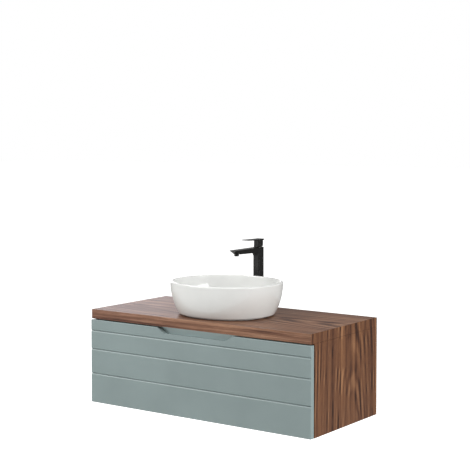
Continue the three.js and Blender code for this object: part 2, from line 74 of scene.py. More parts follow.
# ---- shader helpers --------------------------------------------------------------------
class Finish:
    """A material under construction: each call adds one node and returns its output."""

    def __init__(self, name, **constants):
        self.material = bpy.data.materials.new(name)
        self.material.use_nodes = True
        self.tree = self.material.node_tree
        self.shader = self.tree.nodes["Principled BSDF"]
        for socket, value in constants.items():
            self.shader.inputs[socket.replace("_", " ")].default_value = value

    def node(self, kind, inputs, **settings):
        node = self.tree.nodes.new(kind)
        for setting, value in settings.items():
            setattr(node, setting, value)
        for socket, value in inputs.items():
            if isinstance(value, bpy.types.NodeSocket):
                self.tree.links.new(value, node.inputs[socket])
            else:
                node.inputs[socket].default_value = value
        return node

    def place(self, scale, turn=(0, 0, 0), shift=(0, 0, 0)):
        """Object coordinates, stretched, turned and shifted."""
        raw = self.node("ShaderNodeTexCoord", {}).outputs["Object"]
        inputs = {"Vector": raw, "Scale": scale, "Rotation": turn, "Location": shift}
        return self.node("ShaderNodeMapping", inputs).outputs["Vector"]

    def stretch(self, vector, scale):
        inputs = {"Vector": vector, "Scale": scale}
        return self.node("ShaderNodeMapping", inputs).outputs["Vector"]

    def noise(self, vector, scale, detail=3.0, roughness=0.5, distortion=0.0, output="Fac"):
        inputs = {"Vector": vector, "Scale": scale, "Detail": detail}
        inputs.update({"Roughness": roughness, "Distortion": distortion})
        return self.node("ShaderNodeTexNoise", inputs).outputs[output]

    def ramp(self, value, *stops):
        """A colour ramp; each stop is (position, colour)."""
        node = self.node("ShaderNodeValToRGB", {"Fac": value})
        elements = node.color_ramp.elements
        while len(elements) < len(stops):
            elements.new(0.5)
        for element, (position, colour) in zip(elements, stops):
            element.position = position
            element.color = (*colour, 1)
        return node.outputs["Color"]

    def spread(self, value, low, high, start=0.0, end=1.0):
        """value from low..high mapped to start..end."""
        inputs = {"Value": value, "From Min": low, "From Max": high}
        inputs.update({"To Min": start, "To Max": end})
        return self.node("ShaderNodeMapRange", inputs).outputs["Result"]

    def math(self, operation, a, b):
        return self.node("ShaderNodeMath", {0: a, 1: b}, operation=operation).outputs[0]

    def mix(self, blend, share, a, b):
        inputs = {"Fac": share, "Color1": a, "Color2": b}
        return self.node("ShaderNodeMixRGB", inputs, blend_type=blend).outputs["Color"]

    def bump(self, height, strength, distance):
        inputs = {"Height": height, "Strength": strength, "Distance": distance}
        self.set("Normal", self.node("ShaderNodeBump", inputs).outputs["Normal"])

    def set(self, socket, value):
        self.tree.links.new(value, self.shader.inputs[socket])


def grey(value):
    return (value, value, value)


LEAN = math.radians(8)  # how far the log's heart leans from the board's face


# ---- materials --------------------------------------------------------------------------
def walnut(name, turn, heart, tone, ringed, lively, seed=(0, 0, 0), broad=0.4, clouds=5):
    """Satin walnut. turn brings the grain onto X; heart is where the log's heart runs, in the
    turned frame, which sets how the growth rings cut the face; tone tints the whole; ringed is
    the most that the rings show; lively is the contrast where seed puts the liveliest figure;
    broad is how far wide bands take over from narrow streaks there; clouds is how many patches
    of shade lie across a metre."""
    finish = Finish(name, Specular_IOR_Level=0.22)
    along = finish.place((1, 1, 1), turn)
    drift = finish.noise(finish.stretch(along, (1.7, 6, 6)), 1.0, 2, 0.5, 0, "Color")
    drift = finish.node("ShaderNodeVectorMath", {0: drift, 1: grey(0.5)}, operation="SUBTRACT")
    drift = finish.node(
        "ShaderNodeVectorMath", {0: drift.outputs[0], 1: (0, 0.022, 0.022)}, operation="MULTIPLY"
    )
    bent = finish.node("ShaderNodeVectorMath", {0: along, 1: drift.outputs[0]}, operation="ADD")
    leaning = finish.node(
        "ShaderNodeMapping",
        {"Vector": bent.outputs[0], "Location": (0, -heart[0], -heart[1]),
         "Rotation": (0, LEAN, 0)},
    )
    rings = finish.node(
        "ShaderNodeTexWave",
        {"Vector": leaning.outputs[0], "Scale": 17, "Distortion": 5.0, "Detail": 1,
         "Detail Scale": 0.12, "Detail Roughness": 0.5},
        wave_type="RINGS", rings_direction="X", wave_profile="SIN",
    ).outputs["Fac"]
    bands = finish.noise(finish.stretch(bent.outputs[0], (0.4, 34, 34)), 1.0, 3, 0.55)
    streaks = finish.noise(finish.stretch(bent.outputs[0], (0.5, 105, 105)), 1.0, 3, 0.6)
    region = finish.place((1.1, 11, 11), turn, seed)
    calm = finish.noise(region, 1.0, 2, 0.5)
    fibres = finish.noise(finish.stretch(along, (9, 620, 620)), 1.0, 3, 0.6)
    pores = finish.noise(finish.stretch(along, (35, 1500, 1500)), 1.0, 2, 0.5)
    cloud = finish.noise(finish.stretch(along, (1.5, clouds, clouds)), 1.0, 2, 0.5)

    # Rings and dark streaks come and go across the board.
    figure = finish.mix("MIX", finish.spread(calm, 0.35, 0.65, 0.75, broad), streaks, bands)
    figure = finish.mix("MIX", finish.spread(calm, 0.4, 0.62, 0.02, ringed), figure, rings)
    swing = finish.math("SUBTRACT", figure, 0.5)
    swing = finish.math("MULTIPLY", swing, finish.spread(calm, 0.38, 0.62, 0.35 * lively, lively))
    figure = finish.math("ADD", swing, 0.5)
    figure = finish.mix("MIX", 0.22, figure, fibres)
    stops = ((0.36, (0.048, 0.017, 0.009)), (0.44, (0.130, 0.052, 0.026)),
             (0.52, (0.215, 0.096, 0.048)), (0.66, (0.37, 0.190, 0.100)))
    wood = finish.ramp(figure, *stops)
    wood = finish.mix("MULTIPLY", 1.0, wood, (*tone, 1))
    shade = finish.ramp(cloud, (0.32, (0.74, 0.69, 0.70)), (0.68, (1.20, 1.21, 1.14)))
    wood = finish.mix("MULTIPLY", 1.0, wood, shade)
    flecks = finish.noise(finish.stretch(along, (26, 620, 620)), 1.0, 3, 0.6)
    flecks = finish.ramp(flecks, (0.32, grey(0.78)), (0.68, grey(1.2)))
    wood = finish.mix("MULTIPLY", 1.0, wood, flecks)
    pits = finish.ramp(pores, (0.33, grey(0.55)), (0.42, grey(1.0)))
    finish.set("Base Color", finish.mix("MULTIPLY", 0.6, wood, pits))
    finish.set("Roughness", finish.spread(figure, 0.3, 0.7, 0.50, 0.40))
    relief = finish.mix("MIX", 0.5, fibres, pits)
    finish.bump(relief, 0.25, 0.0004)
    return finish.material


def lacquer(name, colour):
    """Sprayed satin lacquer: faint clouding, orange peel and the odd speck."""
    finish = Finish(name, Specular_IOR_Level=0.5)
    place = finish.place((1, 1, 1))
    cloud = finish.noise(place, 4.0, 3, 0.55)
    shade = finish.ramp(cloud, (0.3, grey(0.93)), (0.7, grey(1.05)))
    finish.set("Base Color", finish.mix("MULTIPLY", 1.0, (*colour, 1), shade))
    peel = finish.noise(place, 420.0, 2, 0.5)
    finish.set("Roughness", finish.spread(cloud, 0.3, 0.7, 0.40, 0.47))
    finish.bump(peel, 0.10, 0.0003)
    return finish.material


def melamine(name, colour):
    """Faced board: linen-like emboss and a fleck in the colour."""
    finish = Finish(name, Specular_IOR_Level=0.4)
    place = finish.place((1, 1, 1))
    threads = finish.noise(finish.stretch(place, (900, 160, 900)), 1.0, 2, 0.5)
    cross = finish.noise(finish.stretch(place, (160, 900, 160)), 1.0, 2, 0.5)
    linen = finish.math("MULTIPLY", threads, cross)
    cloud = finish.noise(place, 7.0, 3, 0.5)
    shade = finish.ramp(cloud, (0.3, grey(0.92)), (0.7, grey(1.04)))
    base = finish.mix("MULTIPLY", 1.0, (*colour, 1), shade)
    fleck = finish.ramp(linen, (0.15, grey(0.86)), (0.35, grey(1.0)))
    finish.set("Base Color", finish.mix("MULTIPLY", 1.0, base, fleck))
    finish.set("Roughness", finish.spread(linen, 0.1, 0.4, 0.62, 0.5))
    finish.bump(linen, 0.2, 0.0002)
    return finish.material


def glaze(name):
    """Thick white sanitary glaze with a slow ripple."""
    finish = Finish(name, Specular_IOR_Level=0.5, Coat_Weight=0.4, Coat_Roughness=0.04)
    place = finish.place((1, 1, 1))
    tint = finish.noise(place, 9.0, 3, 0.5)
    colour = finish.ramp(tint, (0.35, (0.70, 0.705, 0.69)), (0.7, (0.73, 0.735, 0.72)))
    finish.set("Base Color", colour)
    finish.set("Roughness", finish.spread(finish.noise(place, 30.0, 2), 0.3, 0.7, 0.10, 0.17))
    finish.bump(finish.noise(place, 26.0, 2, 0.4), 0.05, 0.0012)
    return finish.material


def bisque(name):
    """Unglazed ceramic on the foot, sanded and slightly stained."""
    finish = Finish(name)
    place = finish.place((1, 1, 1))
    grain = finish.noise(place, 900.0, 3, 0.6)
    stain = finish.noise(place, 35.0, 4, 0.6)
    colour = finish.ramp(stain, (0.3, (0.56, 0.51, 0.44)), (0.7, (0.70, 0.67, 0.61)))
    finish.set("Base Color", colour)
    finish.set("Roughness", finish.spread(grain, 0.3, 0.7, 0.82, 0.95))
    finish.bump(grain, 0.5, 0.0003)
    return finish.material


def black_coat(name):
    """Matt black coat over brass: fine grain, and a sheen that varies where it is handled."""
    finish = Finish(name, Metallic=0.0, Specular_IOR_Level=0.24)
    place = finish.place((1, 1, 1))
    grain = finish.noise(place, 1400.0, 2, 0.5)
    handled = finish.noise(place, 28.0, 3, 0.55)
    colour = finish.ramp(handled, (0.3, grey(0.004)), (0.75, (0.008, 0.0078, 0.0075)))
    finish.set("Base Color", colour)
    finish.set("Roughness", finish.spread(handled, 0.3, 0.7, 0.36, 0.24))
    finish.bump(grain, 0.12, 0.0002)
    return finish.material


def zinc(name):
    """Zinc-plated sheet steel with its drawing marks and a faint spangle."""
    finish = Finish(name, Metallic=1.0)
    place = finish.place((1, 1, 1))
    cells = finish.node("ShaderNodeTexVoronoi", {"Vector": place, "Scale": 110.0})
    spangle = finish.node("ShaderNodeRGBToBW", {"Color": cells.outputs["Color"]}).outputs[0]
    marks = finish.noise(finish.stretch(place, (900, 22, 900)), 1.0, 3, 0.6)
    colour = finish.ramp(spangle, (0.1, (0.52, 0.53, 0.545)), (0.9, (0.66, 0.67, 0.68)))
    finish.set("Base Color", finish.mix("MULTIPLY", 0.35, colour, marks))
    finish.set("Roughness", finish.spread(marks, 0.3, 0.7, 0.30, 0.46))
    finish.bump(marks, 0.15, 0.0002)
    return finish.material


def brass(name):
    """Turned brass, dulled unevenly."""
    finish = Finish(name, Metallic=1.0)
    place = finish.place((1, 1, 1))
    tarnish = finish.noise(place, 60.0, 4, 0.6)
    turning = finish.noise(finish.stretch(place, (60, 60, 2200)), 1.0, 2, 0.5)
    colour = finish.ramp(tarnish, (0.3, (0.50, 0.33, 0.12)), (0.65, (0.74, 0.53, 0.23)))
    finish.set("Base Color", colour)
    finish.set("Roughness", finish.spread(tarnish, 0.3, 0.7, 0.42, 0.25))
    finish.bump(turning, 0.2, 0.0002)
    return finish.material


def rubber(name):
    """Moulded black rubber with a bloom."""
    finish = Finish(name, Specular_IOR_Level=0.3)
    place = finish.place((1, 1, 1))
    bloom = finish.noise(place, 90.0, 4, 0.6)
    finish.set("Base Color", finish.ramp(bloom, (0.35, grey(0.012)), (0.75, grey(0.03))))
    finish.set("Roughness", finish.spread(bloom, 0.3, 0.7, 0.75, 0.92))
    finish.bump(finish.noise(place, 1500.0, 2), 0.4, 0.0002)
    return finish.material


def plastic(name, dark, light, gloss):
    """Moulded plastic: a fine spark-eroded grain and slight flow clouding."""
    finish = Finish(name, Specular_IOR_Level=0.45)
    place = finish.place((1, 1, 1))
    flow = finish.noise(place, 22.0, 3, 0.5)
    finish.set("Base Color", finish.ramp(flow, (0.3, dark), (0.7, light)))
    finish.set("Roughness", finish.spread(flow, 0.3, 0.7, gloss, gloss + 0.1))
    finish.bump(finish.noise(place, 1100.0, 2), 0.15, 0.0002)
    return finish.material


ALONG, UPRIGHT = (0, 0, 0), (0, math.radians(90), 0)  # turns that bring the grain onto X
TOP_HEART = (-0.22, -0.10)
SIDE_LOOK = {"tone": (0.62, 0.59, 0.555), "ringed": 0.12, "lively": 2.6, "seed": (0, 8.2, 0),
             "broad": 0.7, "clouds": 9}
# Painted shade on the worktop's top, a darker copy of the walnut; painted light and sheen on its
# edges, a lighter, greyer copy
WOOD_TOP_PAINTED_SHADE = walnut("walnut_top_painted_shade", ALONG, TOP_HEART, (0.78, 0.83, 0.94), 0.12, 1.5)
WOOD_EDGE_PAINTED_LIGHT = walnut("walnut_edge_painted_light", ALONG, TOP_HEART, (1.06, 1.2, 1.5), 0.03, 2.0)
WOOD_UPRIGHT = {
    "right": walnut("walnut_right", UPRIGHT, (-0.17, -0.42), **SIDE_LOOK),
    "left": walnut("walnut_left", UPRIGHT, (-0.24, 0.42), **SIDE_LOOK),
}
SAGE = lacquer("sage_lacquer", (0.214, 0.270, 0.270))
# Painted light: a paler copy of the sage lacquer for the finger channel and the stretcher behind
# it, where the worktop's shade falls
SAGE_PAINTED_LIGHT = lacquer("sage_lacquer_painted_light", (0.50, 0.62, 0.62))  # in and behind the finger channel
MELAMINE = melamine("box_board", (0.50, 0.48, 0.44))
GLAZE = glaze("glazed_ceramic")
BISQUE = bisque("bare_ceramic")
BLACK = black_coat("black_coat")
ZINC = zinc("zinc_steel")
BRASS = brass("brass")
RUBBER = rubber("rubber")
WHITE = plastic("white_plastic", (0.70, 0.70, 0.685), (0.77, 0.77, 0.76), 0.32)
GREY = plastic("grey_plastic", (0.11, 0.115, 0.12), (0.15, 0.155, 0.16), 0.45)


# ---- mesh helpers -------------------------------------------------------------------------
def softened(points, radius, closed=True, steps=3):
    """An outline with its corners rounded. A point may carry its own radius as a third number."""
    rounded = []
    last = len(points) - 1
    for i, (u, v, *own) in enumerate(points):
        reach = own[0] if own else radius
        if reach == 0 or (not closed and i in (0, last)):
            rounded.append((u, v))
            continue
        corner = Vector((u, v))
        before = Vector(points[i - 1][:2]) - corner
        after = Vector(points[(i + 1) % len(points)][:2]) - corner
        reach = min(reach, 0.48 * before.length, 0.48 * after.length)
        start = corner + before.normalized() * reach
        end = corner + after.normalized() * reach
        for k in range(steps + 1):
            t = k / steps
            point = start * (1 - t) ** 2 + corner * 2 * t * (1 - t) + end * t ** 2
            rounded.append(tuple(point))
    return rounded


def arc(cu, cv, radius, start, end, steps):
    """Points on a round stretch, angles in degrees."""
    turns = [math.radians(start + (end - start) * k / steps) for k in range(steps + 1)]
    return [(cu + radius * math.cos(t), cv + radius * math.sin(t)) for t in turns]


def rectangle(u0, v0, u1, v1):
    return [(u0, v0), (u1, v0), (u1, v1), (u0, v1)]


def hexagon(radius, cu=0, cv=0):
    return arc(cu, cv, radius, 0, 300, 5)


def round_square(half, corner):
    """A square's outline, round at the corners."""
    points = []
    for start, u, v in ((0, 1, 1), (90, -1, 1), (180, -1, -1), (270, 1, -1)):
        points += arc(u * (half - corner), v * (half - corner), corner, start, start + 90, 10)
    return points


AXES = {
    "X": lambda u, v, w: (w, u, v),
    "Y": lambda u, v, w: (u, w, v),
    "Z": lambda u, v, w: (u, v, w),
}


def prism(outline, axis, low, high):
    """A closed bar of one section; the outline lies across the axis."""
    shape = bmesh.new()
    ends = []
    for w in (low, high):
        ends.append([shape.verts.new(AXES[axis](u, v, w)) for u, v in outline])
    shape.faces.new(ends[0])
    shape.faces.new(ends[1])
    count = len(outline)
    for i in range(count):
        j = (i + 1) % count
        shape.faces.new((ends[0][i], ends[0][j], ends[1][j], ends[1][i]))
    bmesh.ops.recalc_face_normals(shape, faces=shape.faces)
    return shape


def turned(profile, axis="Z", steps=72, warp=None):
    """A lathe shape from (radius, height) points. warp(radius, height, turn) changes a radius."""
    shape = bmesh.new()
    rings = []
    for s in range(steps):
        turn = 2 * math.pi * s / steps
        ring = []
        for radius, height in profile:
            reach = warp(radius, height, turn) if warp else radius
            u, v = reach * math.cos(turn), reach * math.sin(turn)
            ring.append(shape.verts.new((u, v, height) if axis == "Z" else (u, height, v)))
        rings.append(ring)
    closed = profile[0][0] > 0 or profile[-1][0] > 0
    spans = len(profile) if closed else len(profile) - 1
    for s in range(steps):
        here, there = rings[s], rings[(s + 1) % steps]
        for i in range(spans):
            j = (i + 1) % len(profile)
            shape.faces.new((here[i], there[i], there[j], here[j]))
    bmesh.ops.remove_doubles(shape, verts=shape.verts, dist=1e-5)
    bmesh.ops.recalc_face_normals(shape, faces=shape.faces)
    return shape


def disc(radius, low, high, steps=64, axis="Z"):
    return turned(rectangle(0, low, radius, high), axis, steps)


def moved(shape, x=0.0, y=0.0, z=0.0):
    bmesh.ops.translate(shape, verts=shape.verts, vec=(x, y, z))
    return shape


def eased(shape, radius, segments=3, sharper=35):
    """Rounds every edge that turns by more than sharper degrees."""
    limit = math.radians(sharper)
    edges = [e for e in shape.edges if e.calc_face_angle(0) > limit]
    bmesh.ops.bevel(
        shape, geom=edges, offset=radius, offset_type="OFFSET", segments=segments,
        profile=0.5, affect="EDGES", clamp_overlap=True,
    )
    return shape


def as_mesh(shape, name="part"):
    mesh = bpy.data.meshes.new(name)
    shape.to_mesh(mesh)
    shape.free()
    return mesh


def linked(name, data):
    """A new object in the scene."""
    thing = bpy.data.objects.new(name, data)
    scene.collection.objects.link(thing)
    return thing


def cleaned(shape, gap):
    """Welds points closer than gap and makes every flat face one piece."""
    bmesh.ops.remove_doubles(shape, verts=shape.verts, dist=gap)
    flat = math.radians(0.5)
    bmesh.ops.dissolve_limit(shape, angle_limit=flat, verts=shape.verts, edges=shape.edges)
    return shape


def merged(*shapes):
    """Separate closed shapes in one mesh."""
    whole = bmesh.new()
    for shape in shapes:
        mesh = as_mesh(shape)
        whole.from_mesh(mesh)
        bpy.data.meshes.remove(mesh)
    return whole


def combined(operation, shape, *tools):
    """Joins the tools to the shape, cuts them from it, or keeps what they share."""
    objects = [linked("part", as_mesh(part)) for part in (shape, *tools)]
    base = objects[0]
    for tool in objects[1:]:
        modifier = base.modifiers.new("combine", "BOOLEAN")
        modifier.operation = operation
        modifier.solver = "EXACT"
        modifier.object = tool
    done = base.evaluated_get(bpy.context.evaluated_depsgraph_get())
    result = bmesh.new()
    result.from_mesh(done.to_mesh())
    done.to_mesh_clear()
    for thing in objects:
        mesh = thing.data
        bpy.data.objects.remove(thing)
        bpy.data.meshes.remove(mesh)
    return cleaned(result, 1e-4)


def extent(node):
    """A CAD node's lowest and highest corners, in millimetres."""
    low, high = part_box(node)
    return low / MM, high / MM


def middle(node):
    low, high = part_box(node)
    return (low + high) / 2 / MM


def from_node(name):
    """A CAD node's shape in millimetres."""
    shape = bmesh.new()
    shape.from_mesh(nodes[name].data)
    bmesh.ops.scale(shape, verts=shape.verts, vec=(1 / MM,) * 3)
    return cleaned(shape, 1e-3)


def piece(name, shape, body, materials, stands_for, choose=None):
    """Turns a shape in millimetres into a finished piece that rides on a body. choose gives
    each face the number of its material."""
    bmesh.ops.scale(shape, verts=shape.verts, vec=(MM,) * 3)
    bmesh.ops.recalc_face_normals(shape, faces=shape.faces)
    mesh = as_mesh(shape, name)
    for material in materials:
        mesh.materials.append(material)
    for face in mesh.polygons:
        face.use_smooth = True
        if choose:
            face.material_index = choose(face)
    crease = math.radians(32)
    mesh.set_sharp_from_angle(angle=crease)
    thing = linked(name, mesh)
    weighted = thing.modifiers.new("even_normals", "WEIGHTED_NORMAL")
    weighted.keep_sharp = True
    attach(thing, body)
    if stands_for:
        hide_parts(*stands_for)
    return thing


def body_of(node):
    return nodes[node]["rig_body"]


def eased_node(node, radius, materials, choose=None, segments=3):
    """A CAD node again, with softened edges."""
    shape = eased(from_node(node), radius, segments)
    return piece(f"{node}_finished", shape, body_of(node), materials, [node], choose)


# ---- screws ---------------------------------------------------------------------------------
def screw_head(place, facing, radius=3.6, height=2.0):
    """A pan head with a cross recess. place is the middle of its seat, facing where it looks."""
    dome = [(0, height), (radius * 0.62, height * 0.93), (radius * 0.94, height * 0.5),
            (radius, 0), (0, 0)]
    head = turned(dome, steps=24)
    arm, blade, depth = radius * 0.6, radius * 0.12, height * 0.35
    slots = []
    for long, short in ((arm, blade), (blade, arm)):
        slots.append(prism(rectangle(-long, -short, long, short), "Z", depth, height + 1))
    head = combined("DIFFERENCE", head, *slots)
    spin = Vector((0, 0, 1)).rotation_difference(Vector(facing)).to_matrix().to_4x4()
    bmesh.ops.transform(head, matrix=Matrix.Translation(place) @ spin, verts=head.verts)
    return head


def screws(name, body, placed):
    """All the heads on one body. Each has its place, with z from the worktop's surface, and the
    way it looks."""
    heads = [screw_head((x, y, z + DECK), facing) for (x, y, z), facing in placed]
    return piece(name, merged(*heads), body, [ZINC], [])


# ---- cabinet ----------------------------------------------------------------------------------
def add_cabinet():
    def end_band(face):
        """The top takes a darker copy of the walnut, painted shade, and the edges and underside a
        lighter, greyer copy, painted light and sheen; the ends carry the side panels' upright
        grain.
        """
        if abs(face.normal.x) > 0.7:
            return 1 if face.normal.x < 0 else 2
        return 3 if face.normal.z > 0.5 else 0

    woods = [WOOD_EDGE_PAINTED_LIGHT, WOOD_UPRIGHT["left"], WOOD_UPRIGHT["right"], WOOD_TOP_PAINTED_SHADE]
    eased_node("worktop", 1.0, woods, end_band)
    for side, _ in SIDES:
        eased_node(f"side_panel_{side}", 0.6, [WOOD_UPRIGHT[side]])
    # The stretcher takes the paler lacquer, painted light in the shade under the worktop.
    eased_node("front_stretcher", 0.8, [SAGE_PAINTED_LIGHT])
    for board in ("rear_board_upper", "rear_board_lower"):
        eased_node(board, 0.5, [MELAMINE])


def add_hanger_screw(node):
    """The adjuster that looks into the cabinet, with a cross cut in its end."""
    low, high = extent(node)
    x, z = (low.x + high.x) / 2, (low.z + high.z) / 2
    radius, arm, blade, depth = 4, 2.6, 0.5, 1.6
    outline = softened(rectangle(0, low.y, radius, high.y), 0.6, closed=False)
    shank = moved(turned(outline, "Y", 32), x=x, z=z)
    cuts = []
    for wide, tall in ((arm, blade), (blade, arm)):
        bar = rectangle(x - wide, z - tall, x + wide, z + tall)
        cuts.append(prism(bar, "Y", low.y - 1, low.y + depth))
    shank = combined("DIFFERENCE", shank, *cuts)
    piece(f"{node}_finished", shank, "root", [ZINC], [node])


def add_fixings():
    eased_node("wall_rail", 0.4, [ZINC], segments=2)
    # Where the heads sit: x from the middle, y from the wall, z from the worktop's surface.
    under_x, under_z = 463, -38.3  # under the angles' upper legs
    beside_x, beside_z = 481.7, -57  # on their upright legs
    angle_rows = (("front", -315), ("rear", -145))
    slide_x, slide_z = 482.2, -325
    rail_y, rail_z = -2, -86
    placed = []
    for side, sign in SIDES:
        eased_node(f"hanger_{side}", 0.6, [ZINC], segments=2)
        add_hanger_screw(f"hanger_screw_{side}")
        for row, middle_y in angle_rows:
            eased_node(f"worktop_angle_{row}_{side}", 0.4, [ZINC], segments=2)
            for y in (middle_y - 8, middle_y + 8):
                placed.append(((sign * under_x, y, under_z), (0, 0, -1)))
                placed.append(((sign * beside_x, y, beside_z), (-sign, 0, 0)))
        for y in (-400, -250, -80):
            placed.append(((sign * slide_x, y, slide_z), (-sign, 0, 0)))
    for x in (-420, -210, 210, 420):
        placed.append(((x, rail_y, rail_z), (0, -1, 0)))
    screws("cabinet_screws", "root", placed)


# ---- drawer -----------------------------------------------------------------------------------
def add_drawer_front():
    low, high = extent("drawer_front")
    face, back = low.y, high.y
    # Each groove has a short slope above its deepest line and a long one below it.
    grooves = (-81.5, -153.5, -248)
    rise, fall, depth = 2.2, 4.8, 4.2
    section = [(back, low.z, 0.8), (back, high.z, 0.8), (face, high.z, 2.4)]
    for z in grooves:
        section.append((face, z + DECK + rise, 0.5))
        section.append((face + depth, z + DECK, 0.5))
        section.append((face, z + DECK - fall, 1.2))
    section.append((face, low.z, 1.4))
    board = prism(softened(section, 1.0, steps=4), "X", low.x, high.x)
    # Finger notch: a shallow trapezium with eased inner corners, open at the top.
    top_half, floor_half, drop = 175, 139, 20
    slope = (top_half - floor_half) / drop
    above = 6
    notch = [
        (-top_half - slope * above, high.z + above, 0),
        (-floor_half, high.z - drop, 5),
        (floor_half, high.z - drop, 5),
        (top_half + slope * above, high.z + above, 0),
    ]
    cutter = prism(softened(notch, 5, steps=6), "Y", face - 1, back + 1)
    # Behind the lip a channel takes the fingertips.
    lip, channel_floor = 8, DECK - 76
    plan = [(-floor_half, face + lip, 5), (floor_half, face + lip, 5), (floor_half, back + 1, 0),
            (-floor_half, back + 1, 0)]
    channel = prism(softened(plan, 5, steps=6), "Z", channel_floor, high.z - 10)
    board = eased(combined("DIFFERENCE", board, cutter, channel), 0.9, 3, 42)
    channel_front, channel_reach = (face + lip - 0.5) * MM, (floor_half + 0.5) * MM

    def painted_light_face(polygon):
        """The channel's walls and floor take the paler lacquer, painted light in the shade under
        the worktop.
        """
        x, y, z = polygon.center
        inside = abs(x) < channel_reach and channel_front < y < (back - 0.1) * MM
        return 1 if inside and (channel_floor - 0.5) * MM < z < (high.z - drop) * MM else 0

    piece("drawer_front_lacquered", board, "drawer", [SAGE, SAGE_PAINTED_LIGHT],
          ["drawer_front"], painted_light_face)


def add_drawer_box():
    boards = ["drawer_box_front", "drawer_bottom", "recess_wall_front"]
    for side, _ in SIDES:
        boards += [f"drawer_side_{side}", f"drawer_back_{side}", f"recess_wall_{side}"]
    for board in boards:
        eased_node(board, 0.7, [MELAMINE])
    # Heads on the box front's inner face, under the clips, and at both ends of the sides.
    front_inside, clip_y, clip_bottom, side_outside = -423.7, -396, -339, 472
    side_ends = (-431, -54)
    placed = []
    for x in (-330, -130, 130, 330):
        for z in (-190, -270):
            placed.append(((x, front_inside, z), (0, 1, 0)))
    for _, sign in SIDES:
        for x in (404, 424):
            placed.append(((sign * x, clip_y, clip_bottom), (0, 0, -1)))
        for z in (-180, -235, -290):
            for y in side_ends:
                placed.append(((sign * side_outside, y, z), (sign, 0, 0)))
    screws("drawer_screws", "drawer", placed)


def add_slides():
    for side, _ in SIDES:
        for rail in ("cabinet", "middle", "drawer"):
            eased_node(f"slide_{rail}_rail_{side}", 0.35, [ZINC], segments=2)
        add_clip(f"front_clip_{side}")


def add_clip(node):
    """A plastic block with grip ribs under it."""
    low, high = extent(node)
    body = softened(rectangle(low.x, low.y, high.x, high.y), 3)
    block = eased(prism(body, "Z", low.z + 2.5, high.z), 0.7)
    first, pitch, inset, width = 9, 8, 5, 3
    bars = []
    for k in range(5):
        y = low.y + first + pitch * k
        bar = rectangle(low.x + inset, y, high.x - inset, y + width)
        bars.append(prism(softened(bar, 1), "Z", low.z, low.z + 3))
    shape = combined("UNION", block, *bars)
    piece(f"{node}_finished", shape, "drawer", [GREY], [node])


# ---- basin and waste --------------------------------------------------------------------------
SLIP = 0.3  # the room left where two parts meet
THREAD = 20.9  # the radius of the waste's threaded tail
WASTE_END = -78  # where that tail ends


def add_basin():
    low, high = extent("basin")
    centre = (low + high) / 2
    rim = (high.x - low.x) / 2
    squeeze = (high.y - low.y) / (high.x - low.x)
    height = high.z - DECK
    inset, lean, lip, floor = 34, 2.2, 5, 18
    foot, hollow, boss, bore = 168, 7, 45, 23  # the foot, the hollow under it, the waste's ring
    heel, wall_start = 4.5, 14
    recess, recess_depth = 34, 2.5  # for the waste's flange

    def wall(z):
        return rim - inset * (1 - z / height) ** lean

    profile = softened(
        [(bore, floor - recess_depth), (bore, SLIP), (boss, SLIP), (boss + 2, hollow),
         (foot - 18, hollow), (foot - 16, SLIP), (foot, SLIP), (foot + 2, heel),
         (wall(heel), heel, 5), (wall(wall_start), wall_start)],
        1.0, closed=False, steps=5,
    )
    wall_steps = 26
    top = height - lip
    for k in range(1, wall_steps):
        z = wall_start + (top - wall_start) * k / wall_steps
        profile.append((wall(z), z))
    profile += arc(rim - lip, top, lip, 0, 180, 14)
    bowl_steps, steep, flat = 46, 2 / 4.5, 2 / 3  # steep walls over a nearly flat floor
    for k in range(1, bowl_steps):
        turn = math.pi / 2 * (k / bowl_steps) ** 1.5
        radius = (rim - 2 * lip) * math.cos(turn) ** steep
        profile.append((radius, top - (top - floor) * math.sin(turn) ** flat))
    profile += [(recess, floor), (recess - 0.4, floor - recess_depth)]

    # The hole and its recess stay round; from there the turned shape widens into a full oval.
    shape = turned(profile, steps=192)
    fullness, round_to, oval_from = 2.15, 50, 150
    for vertex in shape.verts:
        x, y, _ = vertex.co
        radius = math.hypot(x, y)
        share = min(1, max(0, (radius - round_to) / (oval_from - round_to)))
        full = (abs(x / radius) ** fullness + abs(y / radius) ** fullness) ** (-1 / fullness)
        stretch = 1 + share * (full - 1)
        vertex.co.x = x * stretch
        vertex.co.y = y * stretch * (1 + share * (squeeze - 1))
    moved(shape, centre.x, centre.y, DECK)
    foot_height = (DECK + 0.8) * MM

    def bare(face):
        return 1 if face.center.z < foot_height else 0

    piece("basin_glazed", shape, "root", [GLAZE, BISQUE], ["basin"], bare)


def threaded(radius, depth, low, high, pitch):
    """The zigzag of a thread from low to high as profile points."""
    count = int(abs(high - low) / pitch)
    step = (high - low) / count
    points = []
    for k in range(count):
        points.append((radius - depth, low + step * k))
        points.append((radius, low + step * (k + 0.5)))
    points.append((radius - depth, high))
    return points


